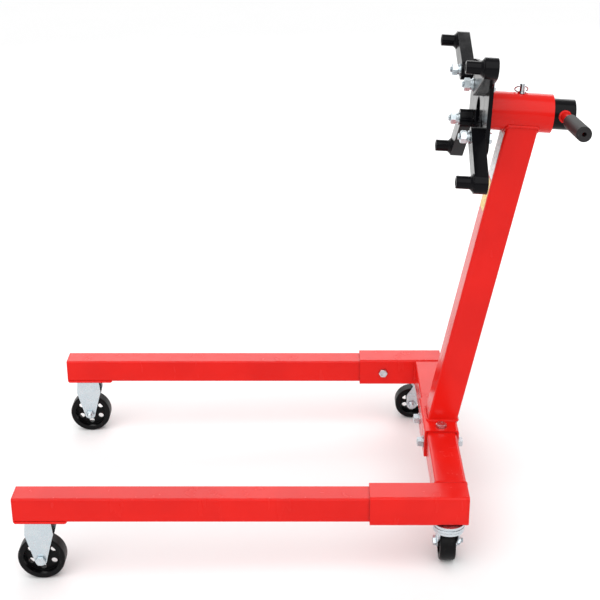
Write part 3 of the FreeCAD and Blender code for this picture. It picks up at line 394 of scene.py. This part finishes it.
def softened(node, width):
    """The CAD node's own shape with its sharp edges rounded, in place of the node."""
    mesh = bmesh.new()
    mesh.from_mesh(frame["nodes"][node].data)
    bmesh.ops.remove_doubles(mesh, verts=mesh.verts, dist=TOUCHING)
    bmesh.ops.dissolve_limit(mesh, angle_limit=FLAT_WITHIN, verts=mesh.verts, edges=mesh.edges)
    sharp = [edge for edge in mesh.edges
             if edge.is_manifold and edge.calc_face_angle() > ROUND_ABOVE]
    bmesh.ops.bevel(mesh, geom=sharp, offset=width, offset_type="OFFSET", segments=2, profile=0.5,
                    affect="EDGES", clamp_overlap=True)
    made = bpy.data.meshes.new(node + "_rounded")
    mesh.to_mesh(made)
    mesh.free()
    return settle(node + "_rounded", made, SLOTS[node], BODIES[node], [node])


TUBE_EDGE, PIN_EDGE, RACE_EDGE, SHEET_EDGE = 0.7 * MM, 0.3 * MM, 0.4 * MM, 0.6 * MM
MOULD_EDGE, BAR_EDGE, FINGER_EDGE = 0.8 * MM, 1.6 * MM, 0.5 * MM

for node in ("rear_cross_tube", "sleeve_caps", "leg_caps", "front_caster_pads", "mast_saddle",
             "mast", "head_tube", "head_shaft", "mounting_plate", "handle_bar",
             "left_leg_sleeve", "right_leg_sleeve", "left_leg", "right_leg"):
    softened(node, TUBE_EDGE)
softened("lock_pin", PIN_EDGE)
softened("handle_grip", MOULD_EDGE)
softened("rear_races", RACE_EDGE)
for side in SIDES:
    softened(side + "_front_fork", SHEET_EDGE)
    softened(side + "_rear_fork", SHEET_EDGE)
    softened(side + "_front_wheel", MOULD_EDGE)
    softened(side + "_rear_wheel", MOULD_EDGE)
for arm in ARMS:
    softened("arm_" + arm, BAR_EDGE)
    softened("finger_" + arm, FINGER_EDGE)


# ---- fasteners --------------------------------------------------------------------------------

SEAT_GAP = 0.02 * MM
FINE_PITCH, M12_PITCH, CLAMP_PITCH = 1.5 * MM, 1.75 * MM, 2.0 * MM
CROWN_SHARE = 0.475
CHAMFER_SLOPE = math.tan(math.radians(30))
FLAT_WASHER = 3.0 * MM
SPRING_SHARE = 0.80
SPRING_ANGLES = np.radians(np.linspace(64, 416, 60))
THREAD_DEPTH = 0.58
RINGS_PER_PITCH = 6
COLLAR_STARTS = 0.68
COLLAR_SHARE = 0.9


def hexagon(across):
    """The radius of a hexagon by angle, with a corner at angle 0."""
    turn = np.arange(TURN) * math.tau / TURN
    return across / 2 / np.cos(np.mod(turn, math.pi / 3) - math.pi / 6)


def hex_facts(points, axis):
    """Axis point, phase direction, levels and widths of a hexagonal solid."""
    axis = np.array(axis)
    side = np.array(Vector(axis).orthogonal().normalized())
    other = np.cross(axis, side)
    along, a, b = points @ axis, points @ side, points @ other
    middle = side * (a.min() + a.max()) / 2 + other * (b.min() + b.max()) / 2
    offset = points - middle - np.outer(along, axis)
    radius = np.linalg.norm(offset, axis=1)
    return middle, offset[radius.argmax()], along, radius


def thread_rows(start, end, radius, pitch):
    """Rings of a screw thread."""
    turn = np.arange(TURN) / TURN
    steps = max(2, int((end - start) / pitch * RINGS_PER_PITCH))
    heights = np.linspace(start, end, steps)
    depth = THREAD_DEPTH * pitch
    return [(z, radius - depth * (0.5 + 0.5 * np.cos(math.tau * (z / pitch - turn))))
            for z in heights]


def add_bolt(shell, points, axis, pitch, thread):
    """A chamfered hex bolt in place of a plain one; its last stretch is threaded."""
    middle, phase, along, radius = hex_facts(points, axis)
    top, bottom = along > along.max() - ON_LEVEL, along < along.min() + ON_LEVEL
    if radius[top].max() > radius[bottom].max():
        return add_bolt(shell, points, -Vector(axis), pitch, thread)
    seat = along[radius > radius.max() - ON_LEVEL].max()
    head = seat - along.min()
    length = along.max() - seat
    shank = radius[top].max()
    across = radius.max() * math.sqrt(3)
    outline = hexagon(across)
    crown = across * CROWN_SHARE
    slope = (outline - crown) * CHAMFER_SLOPE
    place = frame_on(Vector(middle) + Vector(axis) * seat, axis, phase)
    rows = [(-head + 0.5 * MM, crown * 0.12), (-head + 0.4 * MM, crown * 0.7),
            (-head, crown * 0.78), (-head, crown), (-head + slope, outline),
            (-0.6 * MM, outline), (-0.5 * MM, crown * 0.99), (-SEAT_GAP, crown * 0.98),
            (-SEAT_GAP, shank), (length - thread, shank)]
    rows += thread_rows(length - thread, length - 0.8 * MM, shank, pitch)
    rows += [(length, shank - 1.0 * MM), (length, shank * 0.1)]
    shell.turned(rows, place)


def add_nut(shell, points, axis, collar=False):
    """A nut chamfered at both ends, or one with a round locking collar on its outer end."""
    middle, phase, along, radius = hex_facts(points, axis)
    bore = radius.min() + 0.05 * MM
    height = along.max() - along.min()
    across = radius.max() * math.sqrt(3)
    outline = hexagon(across)
    crown = across * CROWN_SHARE
    slope = (outline - crown) * CHAMFER_SLOPE
    place = frame_on(Vector(middle) + Vector(axis) * along.min(), axis, phase)
    top = height * COLLAR_STARTS if collar else height
    rows = [(slope * 0.5, outline), (top - slope, outline), (top, crown)]
    if collar:
        ring = crown * COLLAR_SHARE
        rows += [(top + 0.1 * MM, ring), (height - 0.9 * MM, ring), (height, ring - 0.9 * MM)]
    rows += [(height, bore + 0.8 * MM), (height - 0.7 * MM, bore), (0.7 * MM, bore),
             (0, bore + 0.8 * MM), (0, crown)]
    shell.turned(rows, place, closed=True)


def add_washer(shell, place, outer, bore, low, high):
    """A washer between two levels, with eased edges."""
    edge = 0.35 * MM
    rows = [(low, outer - edge), (low + edge, outer), (high - edge, outer), (high, outer - edge),
            (high, bore + edge), (high - edge, bore), (low + edge, bore), (low, bore + edge)]
    shell.turned(rows, place, closed=True)


def bolts(node, axis, pitch, thread, name):
    """Threaded bolts in place of all the solids of a node."""
    shell = Shell()
    for points in islands(node):
        add_bolt(shell, points, axis, pitch, thread)
    shell.piece(name, "zinc", BODIES[node], node)


bolts("leg_lock_bolts", RIGHT, FINE_PITCH, 9 * MM, "leg_lock_bolts_threaded")
bolts("front_fork_bolts", UP, FINE_PITCH, 9 * MM, "front_fork_bolts_threaded")
bolts("front_axles", RIGHT, FINE_PITCH, 6 * MM, "front_axles_threaded")
bolts("rear_caster_stems", UP, M12_PITCH, 10 * MM, "rear_stems_threaded")
for arm in ARMS:
    bolts("clamp_bolt_" + arm, SHAFT, CLAMP_PITCH, 8 * MM, "clamp_bolt_" + arm + "_threaded")

saddle_shell = Shell()
for points in islands("saddle_bolts"):
    spans = [np.ptp(points @ np.array(way)) for way in (BACK, UP)]
    add_bolt(saddle_shell, points, BACK if spans[0] > spans[1] else UP, M12_PITCH, 9 * MM)
saddle_shell.piece("saddle_bolts_threaded", "zinc", "chassis", "saddle_bolts")

nut_shell = Shell()
for points in islands("saddle_nuts"):
    spans = [np.ptp(points @ np.array(way)) for way in (BACK, UP)]
    add_nut(nut_shell, points, -BACK if spans[0] < spans[1] else -UP)
nut_shell.piece("saddle_nuts_chamfered", "zinc", "chassis", "saddle_nuts")

washer_shell = Shell()
for points in islands("saddle_washers"):
    middle, _, along, radius = hex_facts(points, BACK)
    add_washer(washer_shell, frame_on(Vector(middle), BACK, UP), radius.max(), radius.min(),
               along.min(), along.max())
washer_shell.piece("saddle_washers_rounded", "zinc", "chassis", "saddle_washers")

nut_shell = Shell()
for points in islands("front_axle_nuts"):
    inner = points.mean(axis=0)[1] > 0
    outward = -RIGHT if inner else RIGHT
    add_nut(nut_shell, points, outward, collar=True)
nut_shell.piece("front_locknuts", "zinc", "chassis", "front_axle_nuts")

for side in SIDES:
    axle = Vector(JOINTS[side + "_rear_roll"]["axis"])
    solids = sorted(islands(side + "_rear_axle"), key=lambda p: np.ptp(p @ np.array(axle)))
    shell = Shell()
    centre = Vector(JOINTS[side + "_rear_roll"]["pos_m"])
    outward = axle if (Vector(solids[0].mean(axis=0)) - centre).dot(axle) > 0 else -axle
    add_nut(shell, solids[0], outward, collar=True)
    add_bolt(shell, solids[1], axle, FINE_PITCH, 6 * MM)
    shell.piece(side + "_rear_axle_set", "zinc", side + "_swivel", side + "_rear_axle")

for arm in ARMS:
    points = corners("clamp_nut_" + arm)
    axis = np.array(-SHAFT)
    centre = Vector(JOINTS[arm + "_arm_swing"]["pos_m"])
    along = points @ axis
    offset = points - np.array(centre)
    radius = np.linalg.norm(offset - np.outer(offset @ axis, axis), axis=1)
    washer_top = along[radius > radius.max() - ON_LEVEL].max()
    shell = Shell()
    add_nut(shell, points[along > washer_top - 0.01 * MM], -SHAFT)
    base = frame_on(centre + SHAFT * Vector(axis).dot(centre), -SHAFT, SHAFT_UP)
    bore = radius.min()
    low, outer = along.min(), radius.max()
    flat_top = low + FLAT_WASHER
    add_washer(shell, base, outer, bore + 0.2 * MM, low, flat_top)
    spring = outer * SPRING_SHARE
    half, thick = (spring - bore - 0.3 * MM) / 2, (washer_top - flat_top) / 2
    section = [(-half, -thick), (half, -thick), (half, thick), (-half, thick)]
    path = arc(base, spring - half, SPRING_ANGLES, flat_top + thick)
    shell.swept(path, SHAFT, section, closed=False)
    shell.piece("clamp_nut_" + arm + "_set", "zinc", "clamp_" + arm, "clamp_nut_" + arm)

ring_points = corners("lock_ring")
ring_middle = Vector((ring_points.min(axis=0) + ring_points.max(axis=0)) / 2)
flip = Vector(JOINTS["ring_flip"]["axis"])
ring_across = flip.cross(ring_middle - Vector(JOINTS["ring_flip"]["pos_m"])).normalized()
ring_place = frame_on(ring_middle, ring_across, flip)
wire = -reach("lock_ring", ring_across, ring_middle)[0]
ring_radius = widest(ring_points, ring_across, ring_middle) - wire
shell = Shell()
ring_path = arc(ring_place, ring_radius, np.radians(np.arange(0, 360, 5)))
shell.swept(ring_path, ring_across, round_section(wire, 16))
shell.piece("lock_ring_round", "chrome", "pull_ring", "lock_ring")

# ---- weld beads -------------------------------------------------------------------------------

BEAD_SECTION = round_section(1.0, 8)
PLATE_BEAD, SLEEVE_BEAD, MAST_BEAD = 2.6 * MM, 2.6 * MM, 3.0 * MM
FINGER_BEAD, HANDLE_BEAD, PAD_BEAD = 1.9 * MM, 2.2 * MM, 1.6 * MM
BEAD_STEP = 0.8 * MM
RIPPLE = 4.2 * MM
SWELL = 0.13
WANDER = 0.05


def bead(name, path, radius, slot, body, up, closed=True):
    """A rippled weld bead along a path."""
    points = list(path) + ([path[0]] if closed else [])
    marks = [0.0]
    for first, second in zip(points, points[1:]):
        marks.append(marks[-1] + (second - first).length)
    count = max(12, int(marks[-1] / BEAD_STEP))
    places, sizes, k = [], [], 0
    waves = max(1, round(marks[-1] / RIPPLE))
    wander = [chance.uniform(-1, 1) for _ in range(waves + 2)]
    for i in range(count):
        share = i / count if closed else i / (count - 1)
        mark = share * marks[-1]
        while k < len(marks) - 2 and marks[k + 1] < mark:
            k += 1
        part = (mark - marks[k]) / max(1e-9, marks[k + 1] - marks[k])
        places.append(points[k].lerp(points[k + 1], part))
        wave = share * waves
        drift = wander[int(wave) % waves] * WANDER
        taper = 1.0 if closed else min(1.0, 0.35 + 5.0 * min(share, 1 - share))
        sizes.append(radius * taper * (1 + SWELL * abs(math.sin(math.pi * wave)) + drift))
    shell = Shell()
    shell.swept(places, up, BEAD_SECTION, closed, sizes)
    shell.piece(name, slot, body)


def circle_path(origin, axis, radius, count=72):
    """A full circle round an axis."""
    place = frame_on(origin, axis, Vector(axis).orthogonal())
    return arc(place, radius, [math.tau * i / count for i in range(count)])


def square_path(place, half_x, half_y, corner, count=8):
    """A square with round corners in a placement's XY plane."""
    path = []
    for k, (sx, sy) in enumerate(((1, 1), (-1, 1), (-1, -1), (1, -1))):
        for i in range(count + 1):
            angle = math.pi / 2 * (k + i / count)
            path.append(place @ Vector((sx * (half_x - corner) + corner * math.cos(angle),
                                        sy * (half_y - corner) + corner * math.sin(angle), 0)))
    return path


plate_back = reach("mounting_plate", SHAFT, SHAFT_POINT)[1]
shaft_radius = widest(corners("head_shaft"), SHAFT, SHAFT_POINT)
bead("plate_weld", circle_path(SHAFT_POINT + SHAFT * plate_back, SHAFT, shaft_radius + 0.5 * MM),
     PLATE_BEAD, "black_paint", "head", SHAFT)
for arm in ARMS:
    mount = MOUNTS["engine_bore_" + arm]
    point = Vector(mount["pos_m"])
    low = reach("finger_" + arm, -SHAFT, point)[0]
    radius = widest(corners("finger_" + arm), SHAFT, point)
    foot = point - SHAFT * (low + 0.3 * MM)
    bead("finger_weld_" + arm, circle_path(foot, SHAFT, radius - 1.2 * MM), FINGER_BEAD,
         "black_paint", "swing_" + arm, SHAFT)

tube_low, tube_high = reach("rear_cross_tube", UP)
tube_front, tube_back = reach("rear_cross_tube", BACK)
tube_middle = BACK * (tube_front + tube_back) / 2 + UP * (tube_low + tube_high) / 2
tube_half = (tube_high - tube_low) / 2
for side, sign in zip(SIDES, (-1, 1)):
    end = max(reach("rear_cross_tube", RIGHT * sign)) * sign
    place = frame_on(tube_middle + RIGHT * end, RIGHT, BACK)
    corner_half = tube_half - 0.6 * MM
    bead(side + "_sleeve_weld", square_path(place, corner_half, corner_half, 5 * MM),
         SLEEVE_BEAD, "red_paint", "chassis", RIGHT)


def on_cylinder(start, way, radius, far):
    """Where a line from start along way meets a cylinder round the shaft's axis."""
    offset = start - SHAFT_POINT
    offset -= SHAFT * offset.dot(SHAFT)
    flat = way - SHAFT * way.dot(SHAFT)
    a, b, c = flat.dot(flat), 2 * flat.dot(offset), offset.dot(offset) - radius * radius
    root = math.sqrt(max(0.0, b * b - 4 * a * c))
    return start + way * ((-b + (root if far else -root)) / (2 * a))


mast_mesh = frame["nodes"]["mast"].data
mast_edges = [mast_mesh.vertices[edge.vertices[1]].co - mast_mesh.vertices[edge.vertices[0]].co
              for edge in mast_mesh.edges]
mast_up = max((edge for edge in mast_edges if abs(edge.normalized().dot(RIGHT)) < 0.001),
              key=lambda edge: edge.length).normalized()
mast_up *= 1 if mast_up.dot(UP) > 0 else -1
mast_back = RIGHT.cross(mast_up)
mast_front, mast_rear = reach("mast", mast_back)
mast_half = (mast_rear - mast_front) / 2
mast_place = frame_on(mast_back * (mast_front + mast_rear) / 2, mast_up, mast_back)
tube_radius = widest(corners("head_tube"), SHAFT, SHAFT_POINT)
saddle_top = reach("mast_saddle", UP)[1]
outline = square_path(mast_place, mast_half + 0.2 * MM, mast_half + 0.2 * MM, 5 * MM, 12)
straight = []
for first, second in zip(outline, outline[1:] + outline[:1]):
    straight += [first.lerp(second, k / 10) for k in range(10)]
bead("mast_foot_weld", [p + mast_up * (saddle_top - p.dot(UP)) / mast_up.dot(UP)
                        for p in straight], MAST_BEAD, "red_paint", "chassis", UP)
bead("mast_head_weld", [on_cylinder(p, mast_up, tube_radius, False) for p in straight],
     MAST_BEAD, "red_paint", "chassis", mast_up)

bar_points, grip_points = corners("handle_bar"), corners("handle_grip")
bar_way = Vector(grip_points.mean(axis=0) - bar_points.mean(axis=0)).normalized()
bar_middle = Vector(bar_points.mean(axis=0))
bar_radius = widest(bar_points, bar_way, bar_middle)
bar_ring = circle_path(bar_middle, bar_way, bar_radius + 0.3 * MM)
bead("handle_weld", [on_cylinder(p, bar_way, shaft_radius, True) for p in bar_ring],
     HANDLE_BEAD, "red_paint", "head", bar_way)

leg_bottom = {side: reach(side + "_leg", UP)[0] for side in SIDES}
for points in islands("front_caster_pads"):
    side = "left" if points.mean(axis=0)[1] < 0 else "right"
    span = points @ np.array(BACK)
    wide = reach(side + "_leg", RIGHT)
    middle = BACK * float(span.min() + span.max()) / 2 + RIGHT * sum(wide) / 2
    place = frame_on(middle + UP * leg_bottom[side], UP, BACK)
    half_long, half_wide = float(np.ptp(span)) / 2, (wide[1] - wide[0]) / 2
    bead(side + "_pad_weld", square_path(place, half_long, half_wide, 3 * MM), PAD_BEAD,
         "red_paint", "chassis", UP)

# ---- floor, light and camera ------------------------------------------------------------------

FLOOR_HALF = 80
WORLD_STRENGTH, SKY_STRENGTH, BACK_WATTS = 0.62, 2.2, 70.0
LIGHT_TARGET = (0, 0, 0.4)
LENS, SENSOR, SHIFT, FAR = 78.34, 36.0, -0.0249, 300.0
CAMERA_PITCH = math.radians(22.83)
CAMERA_FROM_CASTER = -BACK * 0.252 - RIGHT * 2.101 + UP * 1.3466

floor_recipe = Recipe("pale_floor")
floor_tone = floor_recipe.mix(floor_recipe.noise(2.0, 3.0), (0.86, 0.86, 0.86, 1),
                              (0.88, 0.88, 0.88, 1))
floor_recipe.finish(floor_tone, 0.7, floor_recipe.bump(floor_recipe.noise(300.0), 0.05, 0.1 * MM))
floor_mesh = bpy.data.meshes.new("floor")
floor_corners = [(x * FLOOR_HALF, y * FLOOR_HALF, 0)
                 for x, y in ((-1, -1), (1, -1), (1, 1), (-1, 1))]
floor_mesh.from_pydata(floor_corners, [], [(0, 1, 2, 3)])
floor_mesh.materials.append(floor_recipe.material)
floor = bpy.data.objects.new("floor", floor_mesh)
bpy.context.scene.collection.objects.link(floor)

world = bpy.data.worlds.new("studio")
bpy.context.scene.world = world
world.use_nodes = True
world.node_tree.nodes["Background"].inputs["Color"].default_value = (1, 1, 1, 1)
world.node_tree.nodes["Background"].inputs["Strength"].default_value = WORLD_STRENGTH


def lamp(name, kind, energy, place, target, **settings):
    """A light at a place that faces a target."""
    light = bpy.data.lights.new(name, kind)
    light.energy = energy
    for key, value in settings.items():
        setattr(light, key, value)
    item = bpy.data.objects.new(name, light)
    item.location = place
    item.rotation_euler = (Vector(target) - Vector(place)).to_track_quat("-Z", "Y").to_euler()
    bpy.context.scene.collection.objects.link(item)


lamp("sky_softbox", "SUN", SKY_STRENGTH, (-0.5, -2.2, 3.4), LIGHT_TARGET, angle=math.radians(80))
lamp("back_softbox", "AREA", BACK_WATTS, (0.0, 3.6, 2.3), LIGHT_TARGET, shape="RECTANGLE",
     size=5.0, size_y=2.2)

camera_data = bpy.data.cameras.new("camera")
camera_data.lens = LENS
camera_data.sensor_width = SENSOR
camera_data.shift_x = SHIFT
camera_data.clip_end = FAR
camera = bpy.data.objects.new("camera", camera_data)
look = RIGHT * math.cos(CAMERA_PITCH) - UP * math.sin(CAMERA_PITCH)
camera_up = RIGHT * math.sin(CAMERA_PITCH) + UP * math.cos(CAMERA_PITCH)
camera_spot = Vector(JOINTS["left_caster_swivel"]["pos_m"]) + CAMERA_FROM_CASTER
camera.matrix_world = Matrix.Translation(camera_spot) @ Matrix(
    (BACK, camera_up, -look)).transposed().to_4x4()
bpy.context.scene.collection.objects.link(camera)
bpy.context.scene.camera = camera
